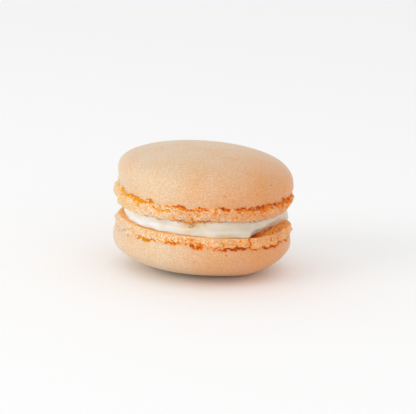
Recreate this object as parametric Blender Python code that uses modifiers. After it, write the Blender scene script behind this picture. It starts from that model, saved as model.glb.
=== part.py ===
# Melon macaron: two baked almond meringue shells with a layer of pale cream between them.
# Metres, +Z up. The macaron rests on a small flat spot at z = 0, and its front is towards -Y.

from math import atan2, cos, exp, pi, radians, sin, tan

import bmesh
import bpy
from mathutils import Matrix, Vector, noise

MM = 0.001

# Mesh fineness
STEPS_ROUND = 120
DOME_RINGS = 10
CREAM_STEPS = 96

# Room left between the cream and each shell
TOUCH_GAP = 0.3 * MM

# A point of the lower shell this near z = 0 is put on the flat spot's edge
FLAT_SPOT_SNAP = 0.06 * MM

# A lobe is (azimuth in degrees from +X, half width in degrees, amount in mm). The front of the
# macaron is at -90, its right side at 0 and its left side at 180. A seam lobe raises the seam,
# and any other lobe pushes its edge out.

TOP = {
    "name": "shell_top",
    "face_centre": (0.54, 0.0, 16.56),      # middle of the flat face on the cream
    "tilt": 0.31,                           # degrees about Y, right side down
    "turned_over": False,
    "dome_radius": 21.97,
    "height": 14.42,                        # flat face to the top of the dome
    "side_power": 0.97,                     # below 1 the dome's side stays full
    "crown_power": 0.596,                   # below 1 the crown is flatter than a ball's
    "crown_shift": -2.55,                   # the highest point lies left of the middle
    "skirt_radius": 21.92,
    "foot_height": 3.72,
    "foot_shift": -0.6,                     # the foot spread a little to the left
    "foot_radius": 22.45,
    "rim_radius": 21.07,
    "seam_lobes": ((-98, 16, -0.25), (-20, 14, 0.4), (190, 20, 1.6)),
    "rim_lobes": ((-150, 26, 0.9), (-96, 20, -1.1), (-33, 18, 0.4), (80, 24, -0.5)),
    "foot_lobes": ((186, 24, 0.1), (0, 16, -0.2), (100, 20, 0.3)),
    "swell": None,
    "seed": 3.7,
    "color": (0.80, 0.52, 0.31),
    "roughness": 0.85,
}

BOTTOM = {
    "name": "shell_bottom",
    "face_centre": (0.0, 0.0, 12.71),
    "tilt": 2.2,
    "turned_over": True,
    "dome_radius": 22.4,
    "height": 12.96,
    "side_power": 0.973,
    "crown_power": 0.907,
    "crown_shift": -1.99,
    "skirt_radius": 22.13,
    "foot_height": 2.75,
    "foot_shift": 0.0,
    "foot_radius": 22.1,
    "rim_radius": 21.27,
    "seam_lobes": ((-152, 12, -0.5), (-100, 12, 0.4), (-34, 10, -0.35)),
    "rim_lobes": ((-62, 18, 0.5), (-27, 16, -1.1), (2, 14, 1.3), (120, 25, -0.4)),
    "foot_lobes": ((0, 15, -0.3), (188, 22, 0.25), (70, 18, -0.3)),
    # the side where the batter sagged: how far it reaches each way and how deep it is
    "swell": {"centre": (11.8, 0.0), "reach": (5.0, 10.0), "depth": 1.4},
    "seed": 11.2,
    "color": (0.80, 0.50, 0.28),
    "roughness": 0.85,
}

CREAM = {
    "name": "cream_filling",
    "edge_radius": 18.9,                    # where the cream meets the lower shell
    "belly": 0.65,                          # how far the cream's side stands proud of that
    "lobes": (
        (-128, 14, -0.7),
        (-82, 20, 1.0),
        (-58, 6, 1.4),
        (-32, 17, -1.6),
        (8, 17, 1.8),
        (60, 30, 0.5),
        (112, 16, -0.8),
        (180, 22, 1.2),
    ),
    "color": (0.84, 0.78, 0.68),
    "roughness": 0.5,
}

# The feet and the seams above them, in mm
LUMP_SIZE = 2.8
LUMP_DEPTH = 0.85
CRUMB_SIZE = 1.5
CRUMB_DEPTH = 0.35
SEAM_DEPTH = 1.05                           # how deep the seam under the skirt goes
SEAM_MOUTH = 0.3                            # from the bottom of the seam to each of its lips
SEAM_WANDER = 0.7                           # how far the seam strays up and down
SEAM_WAVE = 2.6                             # length of that wander
SEAM_REACH = 1.5                            # how far from the seam its wander fades out
SKIRT_RISE = 1.8                            # skirt height between the seam and the dome
RIM_ROUNDING = 0.4                          # of the edge between the foot and the flat face
FACE_FLAT_TO = 18.5                         # inside this radius the flat face stays flat


def add_lobes(azimuth, lobes):
    """Sum of the lobes at an azimuth in radians."""
    total = 0.0
    for centre, half_width, amount in lobes:
        away = (azimuth - radians(centre) + pi) % (2 * pi) - pi
        total += amount * exp(-(away / radians(half_width)) ** 2)
    return total


def turned_mesh(name, profile, steps):
    """Mesh of a profile of (radius, height) pairs, top to bottom, turned about Z."""
    mesh = bpy.data.meshes.new(name)
    points = [(radius, 0.0, height) for radius, height in profile]
    edges = [(i, i + 1) for i in range(len(points) - 1)]
    mesh.from_pydata(points, edges, [])
    turned = bpy.data.objects.new(name, mesh)
    bpy.context.scene.collection.objects.link(turned)
    screw = turned.modifiers.new("turn", "SCREW")
    screw.axis = "Z"
    screw.steps = steps
    screw.render_steps = steps
    screw.use_merge_vertices = True
    screw.merge_threshold = 0.00001
    depsgraph = bpy.context.evaluated_depsgraph_get()
    result = bpy.data.meshes.new_from_object(turned.evaluated_get(depsgraph))
    bpy.data.objects.remove(turned)
    bpy.data.meshes.remove(mesh)
    return result


def shell_profile(shell):
    """(radius, height) pairs from the crown to the middle of the flat face, in mm."""
    seam = shell["foot_height"]
    dome_start = seam + SKIRT_RISE
    dome_rise = shell["height"] - dome_start
    skirt = shell["skirt_radius"]
    foot = shell["foot_radius"]
    rim = shell["rim_radius"]
    profile = [(0.0, shell["height"])]
    for ring in range(1, DOME_RINGS + 1):
        angle = pi / 2 * (1 - ring / DOME_RINGS) ** 1.5
        radius = shell["dome_radius"] * cos(angle) ** shell["side_power"]
        profile.append((radius, dome_start + dome_rise * sin(angle) ** shell["crown_power"]))
    profile += [
        (skirt + 0.1, seam + SKIRT_RISE / 2),
        (skirt, seam + SEAM_MOUTH),
        (skirt - SEAM_DEPTH, seam),
        (foot - 0.15, seam - SEAM_MOUTH),
        (foot, seam * 0.66),
        (foot * 0.65 + rim * 0.35, seam * 0.38),
        (rim + 0.1, RIM_ROUNDING),
        (rim + 0.1 - RIM_ROUNDING, 0.0),
        (FACE_FLAT_TO, 0.0),
        (FACE_FLAT_TO * 0.5, 0.0),
        (0.0, 0.0),
    ]
    return profile


def foot_relief(place, height, seed):
    """How far the frilled foot stands out or in, in mm."""
    here = place + Vector((0, 0, height))
    lumps = noise.noise(here / LUMP_SIZE + Vector((seed, 0, 0)))
    crumbs = noise.noise(here / CRUMB_SIZE + Vector((0, seed, 0)))
    return LUMP_DEPTH * lumps + CRUMB_DEPTH * crumbs


def make_shell(shell, collection):
    """One baked shell, with a smooth dome, a frilled foot and a flat face on the cream."""
    profile = [(radius * MM, height * MM) for radius, height in shell_profile(shell)]
    mesh = turned_mesh(shell["name"], profile, STEPS_ROUND)
    for vertex in mesh.vertices:
        vertex.co = shaped(shell, vertex.co / MM) * MM
    if shell["turned_over"]:
        mesh.transform(Matrix.Rotation(pi, 4, "X"))
    mesh.transform(Matrix.Rotation(radians(shell["tilt"]), 4, "Y"))
    mesh.transform(Matrix.Translation(Vector(shell["face_centre"]) * MM))
    if shell["turned_over"]:
        cut_flat_spot(mesh)
    return finish(mesh, shell, collection)


def shaped(shell, point):
    """Where a point of the turned shell lies once the shell has its uneven baked form."""
    radius = point.xy.length
    height = point.z
    if height < 0.01 and radius < FACE_FLAT_TO + 0.01:
        return point
    side = -1.0 if shell["turned_over"] else 1.0
    azimuth = side * atan2(point.y, point.x)
    place = Vector((cos(azimuth), sin(azimuth), 0.0)) * shell["foot_radius"]
    seed = shell["seed"]
    seam = shell["foot_height"]
    dome_start = seam + SKIRT_RISE

    # the frills of the foot, and the seam under the skirt, deeper here and shallower there
    if height < seam - SEAM_MOUTH / 2:
        edge_share = 0.3 + 0.7 * min(1.0, height / RIM_ROUNDING)
        radius += edge_share * foot_relief(place, height, seed)
        radius += add_lobes(azimuth, shell["foot_lobes"])
        radius += (1 - height / seam) * add_lobes(azimuth, shell["rim_lobes"])
    elif height < seam + SEAM_MOUTH / 2:
        radius += SEAM_DEPTH * noise.noise(place / SEAM_WAVE + Vector((seed, seed, 0)))
    if point.xy.length > 0:
        point.xy *= radius / point.xy.length

    # the seam strays up and down
    wander = SEAM_WANDER * noise.noise(place / SEAM_WAVE + Vector((0, 0, seed)))
    wander += side * add_lobes(azimuth, shell["seam_lobes"])
    point.z += wander * exp(-(((height - seam) / SEAM_REACH) ** 2))

    # the foot spread to one side, the crown leans, and the batter sagged
    foot_share = min(1.0, max(0.0, (dome_start + SKIRT_RISE - height) / (2 * SKIRT_RISE)))
    point.x += shell["foot_shift"] * foot_share
    crown_share = max(height - dome_start, 0.0) / (shell["height"] - dome_start)
    point.x += shell["crown_shift"] * crown_share
    if shell["swell"] and height > dome_start:
        x, y = shell["swell"]["centre"]
        reach_x, reach_y = shell["swell"]["reach"]
        away = ((point.x - x) / reach_x) ** 2 + ((point.y - y) / reach_y) ** 2
        point.z += shell["swell"]["depth"] * exp(-away / 2)
    return point


def cut_flat_spot(mesh):
    """Flatten what reaches below z = 0, so that the round shell rests."""
    bm = bmesh.new()
    bm.from_mesh(mesh)
    for vertex in bm.verts:
        if abs(vertex.co.z) < FLAT_SPOT_SNAP:
            vertex.co.z = 0.0
    everything = bm.verts[:] + bm.edges[:] + bm.faces[:]
    bmesh.ops.bisect_plane(
        bm,
        geom=everything,
        dist=0.00001,
        plane_co=(0, 0, 0),
        plane_no=(0, 0, 1),
        clear_inner=True,
    )
    open_edges = [edge for edge in bm.edges if edge.is_boundary]
    bmesh.ops.holes_fill(bm, edges=open_edges, sides=0)
    bmesh.ops.recalc_face_normals(bm, faces=bm.faces[:])
    bm.to_mesh(mesh)
    bm.free()


def face_height(shell, x):
    """Height of a shell's flat face above z = 0 at x, in mm."""
    centre_x, _, centre_z = shell["face_centre"]
    return centre_z - tan(radians(shell["tilt"])) * (x - centre_x)


def cream_profile():
    """(radius, share of the cream's thickness) pairs from its top face to its bottom face."""
    edge = CREAM["edge_radius"]
    profile = [(0.0, 1.0), (edge * 0.5, 1.0), (edge - 0.5, 1.0)]
    for share in (0.93, 0.8, 0.6, 0.4, 0.2, 0.07):
        profile.append((edge + CREAM["belly"] * sin(pi * share) ** 0.8, share))
    profile += [(edge - 0.2, 0.0), (edge * 0.5, 0.0), (0.0, 0.0)]
    return profile


def make_filling(collection):
    """The cream between the two flat faces, uneven at its edge as it was pressed out."""
    profile = [(radius * MM, share * MM) for radius, share in cream_profile()]
    mesh = turned_mesh(CREAM["name"], profile, CREAM_STEPS)
    gap = TOUCH_GAP / MM
    for vertex in mesh.vertices:
        point = vertex.co / MM
        radius = point.xy.length
        share = point.z
        if radius > CREAM["edge_radius"] / 2 + 1:
            azimuth = atan2(point.y, point.x)
            point.xy *= (radius + add_lobes(azimuth, CREAM["lobes"])) / radius
        low = face_height(BOTTOM, point.x) + gap
        high = face_height(TOP, point.x) - gap
        point.z = low + (high - low) * share
        vertex.co = point * MM
    return finish(mesh, CREAM, collection)


def finish(mesh, sub_part, collection):
    """Name the piece, give it its own material and put it in the macaron's collection."""
    material = bpy.data.materials.new(sub_part["name"])
    material.use_nodes = True
    shader = material.node_tree.nodes["Principled BSDF"]
    shader.inputs["Base Color"].default_value = (*sub_part["color"], 1.0)
    shader.inputs["Roughness"].default_value = sub_part["roughness"]
    shader.inputs["Metallic"].default_value = 0.0
    mesh.materials.append(material)
    mesh.shade_smooth()
    mesh.set_sharp_from_angle(angle=radians(45))
    piece = bpy.data.objects.new(sub_part["name"], mesh)
    collection.objects.link(piece)
    return piece


def main():
    for old in list(bpy.data.objects):
        bpy.data.objects.remove(old)
    macaron = bpy.data.collections.new("melon_macaron")
    bpy.context.scene.collection.children.link(macaron)
    make_shell(TOP, macaron)
    make_filling(macaron)
    make_shell(BOTTOM, macaron)


main()
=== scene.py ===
from math import atan2, cos, exp, floor, pi, radians, sin, tan

import bpy
from mathutils import Matrix, Vector, noise


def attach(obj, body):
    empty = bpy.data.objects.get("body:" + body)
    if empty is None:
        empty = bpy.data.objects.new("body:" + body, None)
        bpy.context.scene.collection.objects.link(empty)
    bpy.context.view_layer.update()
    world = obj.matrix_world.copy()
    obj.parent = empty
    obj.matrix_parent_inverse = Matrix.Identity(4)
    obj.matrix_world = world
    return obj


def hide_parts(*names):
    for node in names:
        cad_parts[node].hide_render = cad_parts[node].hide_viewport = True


# Melon macaron: two baked almond meringue shells, each with a smooth skin and a torn, frilled
# foot, and the pale cream pressed between their flat faces. The front is towards -Y.
# Sizes are in mm and angles in degrees. Azimuths run from +X: front -90, right 0, left 180.
# A lobe is (azimuth, half width, amount).

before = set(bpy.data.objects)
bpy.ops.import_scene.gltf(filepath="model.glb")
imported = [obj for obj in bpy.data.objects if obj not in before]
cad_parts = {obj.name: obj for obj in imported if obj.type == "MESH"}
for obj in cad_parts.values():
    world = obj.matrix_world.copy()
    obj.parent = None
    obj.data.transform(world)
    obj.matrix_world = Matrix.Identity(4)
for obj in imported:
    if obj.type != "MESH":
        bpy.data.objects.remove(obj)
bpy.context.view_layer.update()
mm = 0.001
print("frame loaded")


def smoothStep(low, high, value):
    share = min(1.0, max(0.0, (value - low) / (high - low)))
    return share * share * (3 - 2 * share)


# 1 in the middle, and hardly anything from two widths away.
def bell(*widthsAway):
    return exp(-sum(away * away for away in widthsAway))


# Noise whose lumps have this size, from another place for each shift.
def uneven(spot, size, shift=(0, 0, 0)):
    return noise.noise(spot / size + Vector(shift))


# The angle in radians from an azimuth given in degrees, the short way round.
def turnFrom(centre, azimuth):
    return (azimuth - radians(centre) + pi) % (2 * pi) - pi


def lobeSum(azimuth, lobes):
    total = 0.0
    for centre, halfWidth, amount in lobes:
        total += amount * bell(turnFrom(centre, azimuth) / radians(halfWidth))
    return total


def deselectAll():
    if bpy.context.object and bpy.context.object.mode != "OBJECT":
        bpy.ops.object.mode_set(mode="OBJECT")
    bpy.ops.object.select_all(action="DESELECT")


# One vertex is extruded along the profile, and a Screw modifier turns the profile round Z.
def turnedBlank(name, profile, steps):
    deselectAll()
    bpy.ops.mesh.primitive_circle_add(vertices=3, radius=mm, location=(0, 0, 0))
    blank = bpy.context.object
    blank.name = blank.data.name = name
    bpy.ops.object.mode_set(mode="EDIT")
    bpy.ops.mesh.select_all(action="SELECT")
    bpy.ops.mesh.merge(type="CENTER")
    radius, height = profile[0]
    bpy.ops.transform.translate(value=(radius * mm, 0, height * mm))
    for nextRadius, nextHeight in profile[1:]:
        step = ((nextRadius - radius) * mm, 0, (nextHeight - height) * mm)
        bpy.ops.mesh.extrude_region_move(TRANSFORM_OT_translate={"value": step})
        radius, height = nextRadius, nextHeight
    bpy.ops.object.mode_set(mode="OBJECT")
    screw = blank.modifiers.new("turn", "SCREW")
    screw.steps = screw.render_steps = steps
    screw.use_merge_vertices = True
    screw.merge_threshold = 0.0005 * mm
    bpy.ops.object.modifier_apply(modifier="turn")
    bpy.ops.object.mode_set(mode="EDIT")
    bpy.ops.mesh.select_all(action="SELECT")
    bpy.ops.mesh.normals_make_consistent(inside=False)
    bpy.ops.object.mode_set(mode="OBJECT")
    return blank


# Keeps one number for each vertex, which the material reads.
def paint(piece, name, values):
    layer = piece.data.attributes.new(name, "FLOAT", "POINT")
    layer.data.foreach_set("value", values)


# what both shells share
meringue = {
    "columns": 800,
    "domeRings": 30,
    "ringStep": 0.15,       # between the rings of the side, at the seam and on the flat face
    "seamRingStep": 0.085,
    "faceRingStep": 0.22,
    "skirtRise": 1.8,       # from the seam up to where the dome starts
    "rimRounding": 0.4,
    "faceFlatTo": 16.0,     # the cream hides the flat face out to this radius
    "lumpSize": 2.8,        # the frills of the foot, large and small
    "lumpDepth": 0.75,
    "knobSize": 1.5,
    "knobDepth": 0.3,
    "beadSize": 0.95,       # bubbles that baked into beads, some of them burst
    "beadDepth": 0.4,
    "burstDepth": 0.36,
    "grainSize": 0.5,       # ground almond that shows in the foot
    "grainDepth": 0.16,
    "holeSize": 0.8,        # the sponge inside, where the seam tore open
    "smallHoleSize": 0.42,
    "holeDepth": 0.26,
    "seamWave": 2.6,        # how the seam strays up and down
    "seamWander": 0.5,
    "seamDepth": 0.16,
    "tornOpen": 0.62,       # how open the seam is, with its long and short changes
    "openWave": 2.4,
    "openRipple": 0.9,
    "seamMouth": 0.5,       # half the height of the gap
    "leastMouth": 0.14,
    "stepLength": 2.3,      # the seam jumps from one bubble to the next
    "stepRise": 0.16,
    "skinWave": 7.0,        # the skin is hardly uneven
    "skinDepth": 0.07,
}

upperShell = {
    "name": "upperShell",
    "node": "shell_top",
    "faceCentre": (0.54, 0.0, 16.56),
    "tilt": 0.31,
    "turnedOver": False,
    "domeRadius": 21.97,
    "height": 14.42,
    "sidePower": 0.97,
    "crownPower": 0.596,
    "crownShift": -2.55,
    "skirtRadius": 21.92,
    "footHeight": 3.72,
    "footShift": -0.6,
    "footRadius": 22.45,
    "rimRadius": 21.07,
    "seamLobes": ((-98, 16, -0.25), (-20, 14, 0.4), (190, 20, 1.6), (-117, 5, -0.4)),
    "rimLobes": ((-150, 26, 0.9), (-96, 20, -1.1), (-33, 18, 0.4), (80, 24, -0.5)),
    "footLobes": ((186, 24, 0.1), (0, 16, -0.2), (100, 20, 0.3)),
    "tears": (              # where the seam is torn open more, or less
        (-104, 10, 0.4),
        (-62, 14, 0.5),
        (-118, 5, -0.6),
        (-140, 12, 0.35),
        (-88, 5, -0.5),
        (-30, 18, 0.3),
        (-174, 11, -1.0),
    ),
    "mouths": ((-142, 16, 0.24), (-30, 26, 0.35), (120, 18, 0.15), (-109, 6, -0.24), (-77, 4, -0.24)),
    "droops": ((-112, 12, 0.45), (-97, 8, 0.35), (-140, 12, 0.2), (-62, 8, 0.12), (70, 20, 0.3)),
    "slits": (              # azimuth, half width, height, half thickness in mm, how open
        (-154, 7, 3.3, 0.45, 0.5),
        (-138, 9, 3.15, 0.5, 0.55),
        (-117, 6, 2.35, 0.4, 1.0),
        (-136, 2, 1.9, 0.3, 0.5),
        (-101, 8, 3.05, 0.4, 0.6),
        (-81, 2.5, 2.4, 0.8, 0.5),
        (-62, 9, 3.0, 0.55, 0.5),
        (-58, 4, 1.7, 0.3, 0.35),
        (-47, 8, 3.0, 0.75, 0.75),
        (-33, 7, 2.9, 0.7, 0.55),
        (-12, 12, 3.0, 1.0, 0.75),
        (110, 6, 2.4, 0.4, 0.5),
    ),
    "smoothRim": 1.0,       # how torn the rim is at the least
    "ragged": (),           # where it is torn more than that
    "rimBand": 0.12,        # how far up its side the rim is browned
    "calmEdge": 1.1,        # how far up its side the rim has few pits
    "calm": ((-177, 15, 0.9), (-142, 18, 0.35), (-36, 5, 0.5)),
    "swell": None,
    "cuts": (),
    "hollow": None,
    "seed": 3.7,
}

lowerShell = {
    "name": "lowerShell",
    "node": "shell_bottom",
    "faceCentre": (0.0, 0.0, 12.71),
    "tilt": 2.2,
    "turnedOver": True,
    "domeRadius": 22.4,
    "height": 12.96,
    "sidePower": 0.973,
    "crownPower": 0.907,
    "crownShift": -1.99,
    "skirtRadius": 22.13,
    "footHeight": 2.75,
    "footShift": 0.0,
    "footRadius": 22.1,
    "rimRadius": 21.27,
    "seamLobes": ((-152, 12, -0.5), (-100, 12, 0.4), (-34, 10, -0.35)),
    "rimLobes": ((-62, 18, 0.5), (-27, 16, -1.1), (2, 14, 1.3), (120, 25, -0.4)),
    "footLobes": ((0, 15, -0.3), (188, 22, 0.25), (70, 18, -0.3)),
    "tears": (
        (-66, 5, 0.8),
        (-36, 6, 0.8),
        (-168, 18, -0.9),
        (-125, 9, 0.4),
        (-52, 5, -0.5),
        (-97, 9, 0.15),
    ),
    "mouths": ((-66, 4, 0.12), (-97, 9, 0.1)),
    "droops": ((-130, 17, -0.24),),
    "slits": (
        (-129, 4, 2.3, 0.3, 0.4),
        (-112, 5, 1.8, 0.6, 0.48),
        (-104, 4, 1.7, 0.6, 0.42),
        (-97, 3, 0.9, 0.4, 0.3),
        (-91, 5, 1.6, 0.6, 0.45),
        (-79, 4, 1.2, 0.5, 0.25),
        (-35, 6, 2.6, 0.4, 0.6),
        (60, 6, 1.6, 0.4, 0.5),
        (150, 5, 1.5, 0.4, 0.5),
    ),
    "smoothRim": 0.25,
    "ragged": ((-35, 22, 0.7), (5, 20, 0.7), (95, 30, 0.4)),
    "rimBand": 0.35,
    "calmEdge": 0.3,
    "calm": ((-157, 22, 0.8), (-15, 10, 0.5)),
    # the dome is fuller at the right, two cracks run down the foot, and the ledge starts with a dip,
    # coloured dark as painted shade
    "swell": {"centre": (11.8, 0.0), "reach": (5.0, 10.0), "depth": 1.4},
    "cuts": (
        {"azimuth": -58, "width": 0.36, "depth": 0.7, "low": 0.0, "high": 2.6},
        {"azimuth": -28, "width": 0.3, "depth": 0.7, "low": 0.5, "high": 2.2},
    ),
    "hollow": {"azimuth": -52, "width": 9, "radius": 19.1, "reach": 2.2, "depth": 0.8},
    "seed": 11.2,
}


# Radius and height pairs from the crown down to the middle of the flat face.
def shellProfile(shell):
    seam = shell["footHeight"]
    domeStart = seam + meringue["skirtRise"]
    skirt = shell["skirtRadius"]
    foot = shell["footRadius"]
    rim = shell["rimRadius"]
    rounding = meringue["rimRounding"]
    rings = meringue["domeRings"]

    profile = [(0.0, shell["height"])]
    for ring in range(1, rings + 1):
        angle = pi / 2 * (1 - ring / rings) ** 1.5
        rise = (shell["height"] - domeStart) * sin(angle) ** shell["crownPower"]
        profile.append((shell["domeRadius"] * cos(angle) ** shell["sidePower"], domeStart + rise))

    side = (
        (domeStart, shell["domeRadius"]),
        (seam + 0.9, skirt + 0.1),
        (seam + 0.3, skirt),
        (seam - 0.3, foot - 0.15),
        (seam * 0.66, foot),
        (seam * 0.38, foot * 0.65 + rim * 0.35),
        (rounding, rim + 0.1),
    )
    height = domeStart
    while height > rounding + 0.05:
        nearSeam = abs(height - seam) < 0.55
        height = max(rounding, height - meringue["seamRingStep" if nearSeam else "ringStep"])
        for (high, radiusHigh), (low, radiusLow) in zip(side, side[1:]):
            if low <= height <= high:
                share = (height - low) / (high - low)
                profile.append((radiusLow + (radiusHigh - radiusLow) * share, height))
                break
    for turn in (30, 60, 90):
        inset = rounding * (1 - cos(radians(turn)))
        profile.append((rim + 0.1 - inset, rounding * (1 - sin(radians(turn)))))
    radius = rim + 0.1 - rounding
    while radius > meringue["faceFlatTo"]:
        radius -= meringue["faceRingStep"]
        profile.append((radius, 0.0))
    profile += [(13.0, 0.0), (8.0, 0.0), (3.5, 0.0), (0.0, 0.0)]
    return profile


# A level that stays put for the length of a bubble and then jumps, round the whole seam.
def bubbleSteps(turn, count, seed):
    place = turn * count
    cell = floor(place)
    here = noise.cell(Vector((cell % count + 0.5, seed, 0.5)))
    ahead = noise.cell(Vector(((cell + 1) % count + 0.5, seed, 0.5)))
    return here + (ahead - here) * smoothStep(0.72, 1.0, place - cell) - 0.5


# What the seam does in each column of the turned blank.
def seamTable(shell):
    side = -1 if shell["turnedOver"] else 1
    seed = shell["seed"]
    columns = meringue["columns"]
    count = round(2 * pi * shell["footRadius"] / meringue["stepLength"])
    table = []
    for column in range(columns):
        azimuth = side * 2 * pi * column / columns
        onFoot = Vector((cos(azimuth), sin(azimuth), 0)) * shell["footRadius"]
        wander = meringue["seamWander"] * uneven(onFoot, meringue["seamWave"], (0, 0, seed))
        gape = meringue["tornOpen"] + 0.55 * uneven(onFoot, meringue["openWave"], (0, seed, seed))
        gape += 0.6 * uneven(onFoot, meringue["openRipple"], (seed, 0, seed))
        gape += lobeSum(azimuth, shell["tears"])
        mouth = meringue["seamMouth"] + lobeSum(azimuth, shell["mouths"])
        mouth *= 1 + 1.1 * uneven(onFoot, 1.0, (seed, 0, seed))
        deeper = 1 - uneven(onFoot, meringue["seamWave"], (seed, seed, 0))
        table.append({
            "azimuth": azimuth,
            "onFoot": onFoot,
            "wander": wander + side * lobeSum(azimuth, shell["seamLobes"]),
            "steps": meringue["stepRise"] * 2 * bubbleSteps(column / columns, count, seed),
            "gape": min(1.3, max(0.0, gape)),
            "depth": meringue["seamDepth"] * deeper,
            "mouth": max(meringue["leastMouth"], mouth),
            "torn": min(1.0, max(shell["smoothRim"], lobeSum(azimuth, shell["ragged"]))),
            "calm": lobeSum(azimuth, shell["calm"]),
            "droop": lobeSum(azimuth, shell["droops"]),
        })
    return table


# The flat face round the cream, smooth where it lay on the paper and torn elsewhere.
def faceRelief(shell, seam, radius):
    seed, torn = shell["seed"], seam["torn"]
    spot = seam["onFoot"] * (radius / shell["footRadius"])
    edge = smoothStep(meringue["faceFlatTo"], meringue["faceFlatTo"] + 1.5, radius)
    holes = 0.6 * uneven(spot, 0.8, (seed, 0, 5)) + 0.35 * uneven(spot, 0.4)
    hole = smoothStep(0.02, 0.4, holes) * torn
    knob = smoothStep(-0.1, 0.45, uneven(spot, 0.8, (0, seed, 5)))
    lift = edge * torn * (0.5 * hole - 0.55 * knob + 0.3 * uneven(spot, 0.5))
    lift -= seam["droop"] * smoothStep(18.8, 21.0, radius)
    crevice = edge * torn * (0.42 + 0.7 * hole - 0.3 * knob)
    # it is coloured darker along the cream, where the ledge meets it: painted shade between the parts
    shadeByCream = smoothStep(19.7, 17.7, radius)
    crevice += torn * shadeByCream * (0.45 + 0.9 * uneven(spot, 0.7, (9, 0, seed)))
    hollow = shell["hollow"]
    if hollow:
        turn = turnFrom(hollow["azimuth"], seam["azimuth"]) / radians(hollow["width"])
        share = bell(turn, (radius - hollow["radius"]) / hollow["reach"])
        lift += hollow["depth"] * share
        # the dip is also coloured dark: painted shade
        crevice = min(1.0, crevice + 1.1 * share)
    return lift, crevice


# The frilled foot, the torn seam above it and the skirt of the dome.
def sideRelief(shell, seam, height):
    seed, torn, calm = shell["seed"], seam["torn"], seam["calm"]
    here = seam["onFoot"] + Vector((0, 0, height))
    above = height - shell["footHeight"]
    atSeam = bell(above / seam["mouth"])
    wide = bell(above / (1.6 * seam["mouth"]))

    # how hollow the sponge is here: above 0 it is open
    squashed = Vector((here.x, here.y, here.z * 1.3))
    holes = 0.7 * uneven(squashed, meringue["holeSize"], (0, 0, seed))
    holes += 0.6 * uneven(here, meringue["smallHoleSize"], (seed, seed, 0))
    holes += 0.5 * seam["gape"] * atSeam - 0.22
    for centre, halfWidth, level, thick, amount in shell["slits"]:
        away = turnFrom(centre, seam["azimuth"]) / radians(halfWidth)
        if abs(away) < 1.6:
            holes += amount * bell(away, (height - level) / thick)
    holes += 0.2 * exp(-abs(above) / 0.7) - 0.3 * calm
    holes -= 0.9 * smoothStep(0.1, 0.5, above + 0.4 * uneven(here, 0.9, (0, seed, seed)))

    lumps = meringue["lumpDepth"] * uneven(here, meringue["lumpSize"], (seed, 0, 0))
    knobs = meringue["knobDepth"] * uneven(here, meringue["knobSize"], (0, seed, 0))
    rimShare = smoothStep(0.0, 0.9, height) * (1 - torn) + torn
    if above < 0:
        holes -= 0.35 * (1 - rimShare)
        clear = smoothStep(0.0, shell["calmEdge"], height)
        edge = (0.35 + 0.65 * min(1.0, height / meringue["rimRounding"])) * rimShare
        edge *= 0.45 + 0.55 * clear
        reaches, centres = noise.voronoi(here / meringue["beadSize"] + Vector((seed, 0, 0)))
        burst = smoothStep(0.1, 0.3, noise.cell(centres[0] * 5.7))
        burst *= smoothStep(0.46, 0.26, reaches[0]) * rimShare
        bead = meringue["beadDepth"] * (0.45 - reaches[0]) - meringue["burstDepth"] * burst
        grain = uneven(here, meringue["grainSize"], (0, 0, seed))
        move = edge * (lumps + knobs + bead + meringue["grainDepth"] * grain)
        move += lobeSum(seam["azimuth"], shell["footLobes"])
        move += (1 - height / shell["footHeight"]) * lobeSum(seam["azimuth"], shell["rimLobes"])
        sunken = -uneven(here, meringue["knobSize"], (0, seed, 0)) - 0.9 * grain
        crevice = max(
            0.24 * smoothStep(0.0, 0.7, sunken) * rimShare,
            burst * (0.5 + 0.4 * noise.cell(centres[0] * 3.1)),
        )
        crevice *= clear * max(0.0, 1 - calm)
        inner = smoothStep(shell["rimBand"], 0.0, height)
    else:
        # the skirt follows the foot's lumps a little, and they die out up the dome
        move = 0.35 * exp(-above / 0.9) * (lumps + knobs)
        crevice = inner = 0.0

    hole = smoothStep(0.06, 0.36, holes)
    deep = meringue["holeDepth"] * (0.5 + 0.5 * rimShare) + seam["depth"] * seam["gape"] * wide
    move -= hole * deep + 0.16 * atSeam
    crevice = max(crevice, hole * (0.5 + 0.5 * min(1.0, seam["gape"] * wide * 1.2)))
    for cut in shell["cuts"]:
        away = turnFrom(cut["azimuth"], seam["azimuth"]) * shell["footRadius"]
        away += 0.25 * noise.noise(Vector((height / 0.6, seed, cut["azimuth"])))
        if cut["low"] - 0.2 < height < cut["high"] + 0.2 and abs(away) < 1.5:
            gash = bell(away / cut["width"])
            gash *= smoothStep(cut["low"] - 0.2, cut["low"] + 0.2, height)
            gash *= smoothStep(cut["high"] + 0.2, cut["high"] - 0.2, height)
            move -= cut["depth"] * gash
            crevice = max(crevice, 0.8 * gash)

    lift = seam["wander"] * bell(above / 1.5) + seam["steps"] * bell(above / 0.75)
    hang = seam["droop"] + 0.3 * torn * uneven(seam["onFoot"], 1.3, (seed, 4, 0))
    lift -= hang * smoothStep(1.6, 0.2, height)
    return move, lift, crevice, inner


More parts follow.
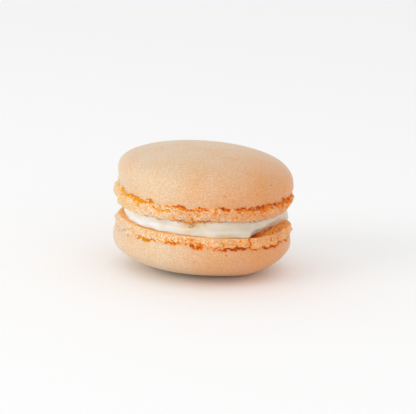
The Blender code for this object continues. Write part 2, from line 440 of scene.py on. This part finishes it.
# Where a point of the turned blank lies once baked, and its marks: how deep in a crevice, on the
# foot, on the inner face and torn it is.
def bakedPoint(shell, table, point):
    radius, height = point.xy.length, point.z
    domeStart = shell["footHeight"] + meringue["skirtRise"]
    turn = (atan2(point.y, point.x) % (2 * pi)) / (2 * pi)
    seam = table[round(turn * len(table)) % len(table)]
    foot = smoothStep(0.1, -0.1, height - shell["footHeight"])
    move = lift = crevice = inner = 0.0

    if height < 0.01 and radius < shell["rimRadius"] - 0.35:
        lift, crevice = faceRelief(shell, seam, radius)
        inner = 1.0
    elif height < domeStart + 1.5:
        move, lift, crevice, inner = sideRelief(shell, seam, height)
    else:
        here = seam["onFoot"] * (radius / shell["footRadius"]) + Vector((0, 0, height))
        move = meringue["skinDepth"] * uneven(here, meringue["skinWave"], (shell["seed"], 0, 0))

    if radius > 0:
        point.xy *= (radius + move) / radius
    point.z = height + lift

    # the foot spread to one side, the crown leans, and the batter sagged
    rise = meringue["skirtRise"]
    point.x += shell["footShift"] * min(1.0, max(0.0, (domeStart + rise - height) / (2 * rise)))
    point.x += shell["crownShift"] * max(height - domeStart, 0.0) / (shell["height"] - domeStart)
    swell = shell["swell"]
    if swell and height > domeStart:
        awayX = (point.x - swell["centre"][0]) / swell["reach"][0]
        awayY = (point.y - swell["centre"][1]) / swell["reach"][1]
        point.z += swell["depth"] * exp(-(awayX ** 2 + awayY ** 2) / 2)
    return point, crevice, foot, inner, seam["torn"]


def makeShell(shell):
    blank = turnedBlank(shell["name"], shellProfile(shell), meringue["columns"])
    table = seamTable(shell)
    marks = []
    for vertex in blank.data.vertices:
        place, *mark = bakedPoint(shell, table, vertex.co / mm)
        vertex.co = place * mm
        marks.append(mark)
    for name, values in zip(("crevice", "foot", "inner", "torn"), zip(*marks)):
        paint(blank, name, values)
    turn = Matrix.Rotation(radians(shell["tilt"]), 4, "Y")
    if shell["turnedOver"]:
        turn = turn @ Matrix.Rotation(pi, 4, "X")
    blank.data.transform(Matrix.Translation(Vector(shell["faceCentre"]) * mm) @ turn)
    if shell["turnedOver"]:
        # the round shell rests on a small flat spot
        bpy.ops.object.mode_set(mode="EDIT")
        bpy.ops.mesh.select_all(action="SELECT")
        bpy.ops.mesh.bisect(
            plane_co=(0, 0, 0), plane_no=(0, 0, 1), use_fill=True, clear_inner=True,
            threshold=0.001 * mm,
        )
        bpy.ops.object.mode_set(mode="OBJECT")
    bpy.ops.object.shade_smooth()
    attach(blank, "root")
    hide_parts(shell["node"])
    print(shell["name"], len(blank.data.polygons), "faces")
    return blank


upper = makeShell(upperShell)
lower = makeShell(lowerShell)


# the cream, pressed out to its edge between the shells
filling = {
    "columns": 480,
    "rows": 34,
    "edgeRadius": 19.2,
    "flatTo": 12.5,         # the shells hide it out to this radius
    "belly": 0.6,           # how far its side stands proud between the shells
    "sunkIn": 0.02,         # how far it reaches into each shell
    "highLobes": (          # its edge along the upper shell, and along the lower one
        (-138, 22, 0.45),
        (-75, 25, 0.9),
        (-28, 22, -0.5),
        (12, 12, 1.3),
        (60, 30, 0.5),
        (112, 16, -0.8),
        (180, 16, -0.2),
    ),
    "lowLobes": (
        (-139, 22, 1.0),
        (-110, 14, 0.8),
        (-80, 19, 1.5),
        (-60, 6, 1.5),
        (-26, 22, -2.15),
        (12, 9, 2.2),
        (60, 30, 0.5),
        (112, 16, -0.8),
        (180, 16, 0.2),
    ),
    "folds": ((-105, 3, 0.2), (-92, 3, -0.2), (-120, 5, 0.15)),
    "dabs": (               # azimuth, half width, level and thickness as shares of the height, amount
        (-99, 4.5, 0.45, 0.3, 0.55),
        (-103, 3, 0.15, 0.2, 0.3),
        (-72, 12, 0.4, 0.35, 0.45),
        (-47, 5, 0.75, 0.14, 0.35),
        (-40, 6, 0.4, 0.15, 0.25),
        (-26, 6, 0.7, 0.2, 0.2),
    ),
    "tinge": ((-99, 6, 0.7, 0.6), (-92, 7, 0.85, 0.5)),  # where the foot's crumb coloured it
    "rubbedOff": 0.45,      # how much the shells coloured its two edges
    "smear": 0.32,
    "seed": 6.1,
}


def faceHeight(shell, x):
    centre = shell["faceCentre"]
    return centre[2] - tan(radians(shell["tilt"])) * (x - centre[0])


# How far out the cream's side is moved at this azimuth and share of its height.
def creamRelief(azimuth, share):
    seed = filling["seed"]
    onEdge = Vector((cos(azimuth), sin(azimuth), 0)) * filling["edgeRadius"]
    rise = smoothStep(0.0, 0.8, share)
    move = lobeSum(azimuth, filling["lowLobes"]) * (1 - rise)
    move += lobeSum(azimuth, filling["highLobes"]) * rise
    belly = sin(pi * share) ** 0.7 if 0 < share < 1 else 0.0
    move += belly * lobeSum(azimuth + 0.12 * (share - 0.5), filling["folds"])
    move += belly * filling["smear"] * uneven(onEdge, 5.0, (0, 0, share * 3.2 + seed))
    move += 0.08 * uneven(onEdge, 1.6, (0, 0, share * 2.0 - seed))
    move += 0.5 * uneven(onEdge, 3.0, (seed, 0, 0)) * (1 - share) ** 2
    for centre, halfWidth, level, thick, amount in filling["dabs"]:
        away = turnFrom(centre, azimuth) / radians(halfWidth)
        move += belly * amount * bell(away, (share - level) / thick)
    return move


def makeCream():
    edge = filling["edgeRadius"]
    flat = (0.0, 6.0, 12.0, 15.5, edge - 1.2, edge - 0.6)
    profile = [(radius, 1.0) for radius in flat]
    for row in range(filling["rows"] + 1):
        share = 1 - row / filling["rows"]
        proud = filling["belly"] * sin(pi * share) ** 0.8
        profile.append((edge + 0.3 - 0.1 * share + proud, share))
    profile += [(radius, 0.0) for radius in reversed(flat)]
    piece = turnedBlank("creamFilling", profile, filling["columns"])
    stains = []
    for vertex in piece.data.vertices:
        point = vertex.co / mm
        radius, share = point.xy.length, point.z
        azimuth = atan2(point.y, point.x)
        if radius > filling["flatTo"]:
            move = creamRelief(azimuth, share) * smoothStep(filling["flatTo"], edge - 1.0, radius)
            point.xy *= (radius + move) / radius
        stain = filling["rubbedOff"] * max(smoothStep(0.72, 1.0, share), smoothStep(0.16, 0.0, share))
        for centre, halfWidth, level, thick in filling["tinge"]:
            away = turnFrom(centre, azimuth) / radians(halfWidth)
            stain = max(stain, bell(away, (share - level) / thick))
        stains.append(stain)
        low = faceHeight(lowerShell, point.x) - filling["sunkIn"]
        high = faceHeight(upperShell, point.x) + filling["sunkIn"]
        point.z = low + (high - low) * share
        vertex.co = point * mm
    paint(piece, "tinge", stains)
    bpy.ops.object.shade_smooth()
    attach(piece, "root")
    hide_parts("cream_filling")
    print("creamFilling", len(piece.data.polygons), "faces")
    return piece


cream = makeCream()

looseCrumb = {
    "halfLengths": (0.95, 0.33, 0.3),
    "azimuth": -97.9,
    "radius": 20.95,
    "height": 15.35,
    "slope": 34,
    "roughness": 0.13,
    "lumpSizes": (0.35, 0.16),
}


# A bit that broke off the foot and sticks to the cream, half sunk in it.
def makeCrumb():
    deselectAll()
    azimuth = radians(looseCrumb["azimuth"])
    place = Vector((cos(azimuth), sin(azimuth), 0)) * looseCrumb["radius"]
    place.z = looseCrumb["height"]
    bpy.ops.mesh.primitive_ico_sphere_add(subdivisions=5, radius=mm, location=(0, 0, 0))
    piece = bpy.context.object
    piece.name = piece.data.name = "looseCrumb"
    bpy.ops.object.mode_set(mode="EDIT")
    bpy.ops.mesh.select_all(action="SELECT")
    bpy.ops.transform.resize(value=looseCrumb["halfLengths"])
    bpy.ops.object.mode_set(mode="OBJECT")
    large, small = looseCrumb["lumpSizes"]
    for vertex in piece.data.vertices:
        here = vertex.co / mm
        lump = uneven(here, large) + 0.5 * uneven(here, small)
        vertex.co += here.normalized() * looseCrumb["roughness"] * lump * mm
    lean = Matrix.Rotation(radians(-looseCrumb["slope"]), 4, "Y")
    along = Matrix.Rotation(azimuth + pi / 2, 4, "Z")
    piece.data.transform(Matrix.Translation(place * mm) @ along @ lean)
    paint(piece, "crevice", [0.0] * len(piece.data.vertices))
    paint(piece, "foot", [1.0] * len(piece.data.vertices))
    bpy.ops.object.shade_smooth()
    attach(piece, "root")
    print("looseCrumb", len(piece.data.polygons), "faces")
    return piece


crumb = makeCrumb()


def linear(hexColour):
    channels = [int(hexColour[i:i + 2], 16) / 255 for i in (1, 3, 5)]
    return [c / 12.92 if c <= 0.04045 else ((c + 0.055) / 1.055) ** 2.4 for c in channels] + [1.0]


# Adds a node and gives one of its outputs. Each value is a setting of the node, or goes to the
# input of that name or number, where an output is linked and a hex colour turned linear.
def addNode(tree, kind, values, output=0):
    node = tree.nodes.new("ShaderNode" + kind)
    for key, value in values.items():
        if isinstance(key, str) and hasattr(node, key):
            setattr(node, key, value)
        elif isinstance(value, bpy.types.NodeSocket):
            tree.links.new(value, node.inputs[key])
        else:
            node.inputs[key].default_value = linear(value) if isinstance(value, str) else value
    return node.outputs[output]


def newMaterial(name, values):
    material = bpy.data.materials.new(name)
    material.use_nodes = True
    shader = material.node_tree.nodes["Principled BSDF"]
    for key, value in values.items():
        shader.inputs[key].default_value = value
    return material, material.node_tree, shader


bakedAndShadedSide = (0.9, -0.43, 0)      # towards the front right, nearer the oven and away from the key light: the colour deepens there as browning and as painted shade
# towards the back and the right edge, where the skin is painted paler and greyer as sheen
backSide = (0.35, 0.94, 0)

meringueFinish = {
    "skinPale": "#e1c6a5",
    "skinPeach": "#e3bc90",
    # painted sheen: the paler, greyer skin high at the back
    "skinBack": "#e0c5aa",
    # painted sheen: the paler, greyer skin towards the lit left
    "skinFar": "#dfc9b0",
    # deeper orange towards the front right: browned, and painted shade away from the key light
    "skinBaked": "#e08c42",
    "pore": "#c07a3c",
    "footPale": "#f3d6b8",
    "footPeach": "#eaba7f",
    # the foot's deeper orange towards the front right: browned, and painted shade
    "footBaked": "#e9a35c",
    # the foot paler towards the lit left: less browned, and painted light
    "footFar": "#e4c8a6",
    "goldLit": "#f7b548",   # the crevices' orange sponge, lit at the margins and with painted shade in the depths, and browner towards the front right, partly as painted shade
    "goldDeep": "#e8980c",
    "orangeLit": "#f8a63e",
    "orangeDeep": "#ee8206",
    "brownLit": "#f99c38",
    "brownDeep": "#de7004",
    # darkest in the deepest crevices towards the front right: browned, and painted shade
    "burntAndShaded": "#b44402",
    "faceSmooth": "#fac67e",
    "faceTorn": "#fb8e1c",
    "grainDark": (0.83, 0.74, 0.65, 1),     # what the grain multiplies the colour by
    "grainLight": (1.11, 1.18, 1.27, 1),
    "patchSize": 6.25,
    "grainSize": 0.357,
    "poreSpacing": 3.33,
    "poreDepth": 2.0,       # as a multiple of the grain's
    "bumpDepth": 0.05,
    "footRoughness": 0.2,   # on top of the skin's
}
upperFinish = {
    **meringueFinish,
    "footFar": "#eac594",
    "footBaked": "#df955a",
    "faceTorn": "#ecc795",
}
crumbFinish = {
    **meringueFinish,
    "footPale": "#e0b274",
    "footPeach": "#c8924e",
    "footBaked": "#c8904c",
}


# Almond meringue, piped and baked: a dull, dry skin with the grain of ground almonds, and a foot
# of burst bubbles that are pale on the outside and orange inside.
def bakedMeringue(name, finish):
    material, tree, shader = newMaterial(name, {
        "IOR": 1.45,
        "Specular IOR Level": 0.32,
        "Sheen Weight": 0.08,
        "Sheen Roughness": 0.5,
        "Subsurface Weight": 0.1,
        "Subsurface Radius": (1.3, 0.55, 0.22),
        "Subsurface Scale": mm,
    })
    coords = addNode(tree, "TexCoord", {}, "Object")
    inMm = addNode(tree, "VectorMath", {"operation": "SCALE", 0: coords, "Scale": 1 / mm})
    heatAndShade, back = (
        addNode(tree, "VectorMath", {"operation": "DOT_PRODUCT", 0: inMm, 1: side}, "Value")
        for side in (bakedAndShadedSide, backSide)
    )
    height = addNode(tree, "SeparateXYZ", {0: inMm}, "Z")

    # ground almond is finer than this grain, which is drawn as coarse as it needs to show
    soft = {"Scale": 1 / finish["patchSize"], "Detail": 2, "Roughness": 0.5}
    sharp = {"Scale": 1 / finish["grainSize"], "Detail": 3, "Roughness": 0.7}
    patches = addNode(tree, "TexNoise", {"Vector": inMm, **soft})
    grain = addNode(tree, "TexNoise", {"Vector": inMm, **sharp})
    # pores about 0.4 mm across, one to some 20 square mm
    apart = {"Scale": 1 / finish["poreSpacing"]}
    toPore = addNode(tree, "TexVoronoi", {"Vector": inMm, **apart}, "Distance")
    cellRed = addNode(tree, "SeparateColor", {0: toPore.node.outputs["Color"]})
    marks = ("crevice", "foot", "inner", "torn")
    share = {mark: addNode(tree, "Attribute", {"attribute_name": mark}, "Fac") for mark in marks}
    share["chosen"] = addNode(tree, "Math", {"operation": "GREATER_THAN", 0: cellRed, 1: 0.45})

    # how much each thing shows: what it follows, from where to where, and its least and most
    for thing, follows, start, end, least, most in (
        ("patchy", patches, 0.35, 0.65, 0, 1),
        # painted sheen: the skin paler towards the lit left
        ("leftSheen", heatAndShade, -4, -20, 0, 0.45),
        # the colour deepens towards the front right, less on the crown: browning, and painted shade
        # away from the key light
        ("hot", heatAndShade, -1, 20, 0, 1),
        ("hotFoot", heatAndShade, -1, 20, 0, 0.75),
        # painted sheen: less of that deeper colour towards the back and the right edge
        ("front", back, -4, 8, 1, 0.62),
        # painted sheen: paler, greyer skin high at the back
        ("behind", back, 0, 18, 0, 1),
        ("high", height, 10, 26, 0.15, 1),
        ("crown", height, 22, 31, 0.72, 0.396),
        ("pit", toPore, 0.1, 0.04, 0, 0.75),
        ("grainy", grain, 0.35, 0.65, 0, 1),
        # the foot paler towards the lit left: less browned, and painted light
        ("coolLitFoot", heatAndShade, -3, -13, 0, 1),
        ("warm", heatAndShade, -3, 5, 0, 1),
        ("brown", heatAndShade, 8, 18, 0, 1),
        ("open", share["crevice"], 0.04, 0.32, 0, 1),
        # deeper in the crevices the orange turns darker: painted shade
        ("deep", share["crevice"], 0.32, 0.75, 0, 1),
        # the deepest crevices towards the front right turn darkest: browned, and painted shade
        ("deepest", share["crevice"], 0.93, 1.0, 0, 0.8),
        ("charringAndShade", heatAndShade, -3, 8, 0, 1),
        ("skinGrain", grain, 0.3, 0.7, 0, 1),
        ("footGrain", grain, 0.24, 0.72, 0, 1),
        ("dull", grain, 0, 1, 0.36, 0.5),
    ):
        ends = {"From Min": start, "From Max": end, "To Min": least, "To Max": most}
        share[thing] = addNode(tree, "MapRange", {"Value": follows, **ends})
    for thing, first, second in (
        ("baked", "hot", "front"),
        ("bakedSkin", "baked", "crown"),
        ("bakedFoot", "hotFoot", "front"),
        ("highBackSheen", "behind", "high"),
        ("pore", "pit", "chosen"),
        ("burntAndShaded", "deepest", "charringAndShade"),
    ):
        both = {0: share[first], 1: share[second]}
        share[thing] = addNode(tree, "Math", {"operation": "MULTIPLY", **both})

    # each row lays a second colour over a first: the result, how much, and the two
    colour = dict(finish)
    for result, amount, first, second in (
        ("skin", "patchy", "skinPale", "skinPeach"),
        ("skin", "leftSheen", "skin", "skinFar"),
        ("skin", "highBackSheen", "skin", "skinBack"),
        ("skin", "bakedSkin", "skin", "skinBaked"),
        ("skin", "pore", "skin", "pore"),
        ("face", "torn", "faceSmooth", "faceTorn"),
        ("frill", "grainy", "footPeach", "footPale"),
        ("frill", "bakedFoot", "frill", "footBaked"),
        ("frill", "coolLitFoot", "frill", "footFar"),
        ("frill", "inner", "frill", "face"),
        ("margin", "warm", "goldLit", "orangeLit"),
        ("margin", "brown", "margin", "brownLit"),
        # the crevices' depths: the sponge's orange with painted shade
        ("inside", "warm", "goldDeep", "orangeDeep"),
        ("inside", "brown", "inside", "brownDeep"),
        ("all", "foot", "skin", "frill"),
        ("all", "open", "all", "margin"),
        ("all", "deep", "all", "inside"),
        ("all", "burntAndShaded", "all", "burntAndShaded"),
    ):
        mixed = {"data_type": "RGBA", 0: share[amount], 6: colour[first], 7: colour[second]}
        colour[result] = addNode(tree, "Mix", mixed, 2)

    # the grain shades the skin once and the foot twice
    grains = {0: share["foot"], 2: share["skinGrain"], 3: share["footGrain"]}
    fine = addNode(tree, "Mix", {"data_type": "FLOAT", **grains})
    tones = {"data_type": "RGBA", 6: finish["grainDark"], 7: finish["grainLight"]}
    shade = addNode(tree, "Mix", {**tones, 0: fine}, 2)
    for amount in (1.0, share["foot"]):
        shaded = {0: amount, 6: colour["all"], 7: shade}
        multiplied = {"data_type": "RGBA", "blend_type": "MULTIPLY", **shaded}
        colour["all"] = addNode(tree, "Mix", multiplied, 2)
    tree.links.new(colour["all"], shader.inputs["Base Color"])

    # the foot is rougher, and the pores are sunk in
    rougher = {0: share["foot"], 1: finish["footRoughness"], 2: share["dull"]}
    rough = addNode(tree, "Math", {"operation": "MULTIPLY_ADD", **rougher})
    tree.links.new(rough, shader.inputs["Roughness"])
    pitted = {0: share["pore"], 1: -finish["poreDepth"], 2: grain}
    sunk = addNode(tree, "Math", {"operation": "MULTIPLY_ADD", **pitted})
    relief = {"Strength": 0.5, "Distance": finish["bumpDepth"] * mm, "Height": sunk}
    tree.links.new(addNode(tree, "Bump", relief), shader.inputs["Normal"])
    return material


creamFinish = {
    "white": "#ecf0f2",
    "peach": "#e5dccd",
    # painted shade: the cream greyer towards the front right, away from the key light
    "shaded": "#d1c0a6",
    "tinged": "#e0c294",
    "smearSize": 3.57,      # along the side, and a third of it in height
    "bumpDepth": 0.1,
}


# Whipped filling cream with butter: soft, faintly translucent, a low sheen where it was pressed.
def pressedCream(name, finish):
    material, tree, shader = newMaterial(name, {
        "IOR": 1.46,
        "Subsurface Weight": 0.4,
        "Subsurface Radius": (2.0, 1.5, 1.1),
        "Subsurface Scale": mm,
    })
    coords = addNode(tree, "TexCoord", {}, "Object")
    flattened = addNode(tree, "Mapping", {"Scale": (1, 1, 3), "Vector": coords})
    streaks = {"Scale": 1 / (finish["smearSize"] * mm), "Detail": 3, "Roughness": 0.5}
    smears = addNode(tree, "TexNoise", {"Vector": flattened, **streaks})
    heatAndShade = addNode(tree, "VectorMath", {"operation": "DOT_PRODUCT", 0: coords, 1: bakedAndShadedSide}, "Value")
    tinge = addNode(tree, "Attribute", {"attribute_name": "tinge"}, "Fac")

    # its colour, from the white up: what each colour follows, from where to where, and its most
    colour = finish["white"]
    for over, follows, start, end, most in (
        ("peach", smears, 0.45, 0.75, 1.0),
        # painted shade: greyer towards the front right, away from the key light
        ("shaded", heatAndShade, -17 * mm, 18 * mm, 0.8),
        ("tinged", tinge, 0.0, 1.0, 0.7),
    ):
        ends = {"From Min": start, "From Max": end, "To Max": most}
        amount = addNode(tree, "MapRange", {"Value": follows, **ends})
        colour = addNode(tree, "Mix", {"data_type": "RGBA", 0: amount, 6: colour, 7: finish[over]}, 2)
    tree.links.new(colour, shader.inputs["Base Color"])

    rough = addNode(tree, "MapRange", {"Value": smears, "To Min": 0.34, "To Max": 0.5})
    tree.links.new(rough, shader.inputs["Roughness"])
    relief = {"Strength": 0.35, "Distance": finish["bumpDepth"] * mm, "Height": smears}
    tree.links.new(addNode(tree, "Bump", relief), shader.inputs["Normal"])
    return material


upper.data.materials.append(bakedMeringue("bakedMeringueUpper", upperFinish))
lower.data.materials.append(bakedMeringue("bakedMeringueLower", meringueFinish))
cream.data.materials.append(pressedCream("pressedCream", creamFinish))
crumb.data.materials.append(bakedMeringue("bakedCrumb", crumbFinish))
print("materials made")


# floor and lights, in metres
studio = {
    "floorSize": 6.0,
    "floorHeight": -0.00002,
    "floor": "#ffffff",
    "floorRoughness": 0.8,
    "sky": 0.86,
    "aim": (0, 0, 0.015),
    "key": {"place": (-0.85, -0.55, 0.36), "size": 0.6, "power": 3.35},
    "fill": {"place": (0.4, -0.85, 0.12), "size": 0.8, "power": 1.2},
}

camera = {
    "elevation": 13.122,
    "roll": 2.405,
    "distance": 426.413,
    "lens": 146.41,
    "sensorWidth": 36,
    "target": (0.985, 0.0, 15.412),
}

deselectAll()
bpy.ops.mesh.primitive_plane_add(size=studio["floorSize"], location=(0, 0, studio["floorHeight"]))
floorPlane = bpy.context.object
floorPlane.name = "paleFloor"
floorValues = {"Base Color": linear(studio["floor"]), "Roughness": studio["floorRoughness"]}
floorPlane.data.materials.append(newMaterial("paleTable", floorValues)[0])

for name in ("key", "fill"):
    lamp = studio[name]
    aim = Vector(studio["aim"]) - Vector(lamp["place"])
    facing = aim.to_track_quat("-Z", "Y").to_euler()
    bpy.ops.object.light_add(type="AREA", location=lamp["place"], rotation=facing)
    light = bpy.context.object
    light.name = name + "Light"
    light.data.size = lamp["size"]
    light.data.energy = lamp["power"]

world = bpy.data.worlds.new("studio")
world.use_nodes = True
sky = world.node_tree.nodes["Background"]
sky.inputs["Color"].default_value = (1, 1, 1, 1)
sky.inputs["Strength"].default_value = studio["sky"]
bpy.context.scene.world = world
bpy.context.scene.view_settings.view_transform = "Standard"

elevation = radians(camera["elevation"])
forward = Vector((0, cos(elevation), -sin(elevation)))
eyePlace = (Vector(camera["target"]) - forward * camera["distance"]) * mm
pitch = Matrix.Rotation(pi / 2 - elevation, 3, "X")
roll = Matrix.Rotation(radians(camera["roll"]), 3, "Z")
bpy.ops.object.camera_add(location=eyePlace, rotation=(pitch @ roll).to_euler())
eye = bpy.context.object
eye.name = "photoCamera"
eye.data.sensor_fit = "HORIZONTAL"
eye.data.sensor_width = camera["sensorWidth"]
eye.data.lens = camera["lens"]
eye.data.clip_start = 10 * mm
bpy.context.scene.camera = eye
print("studio set")
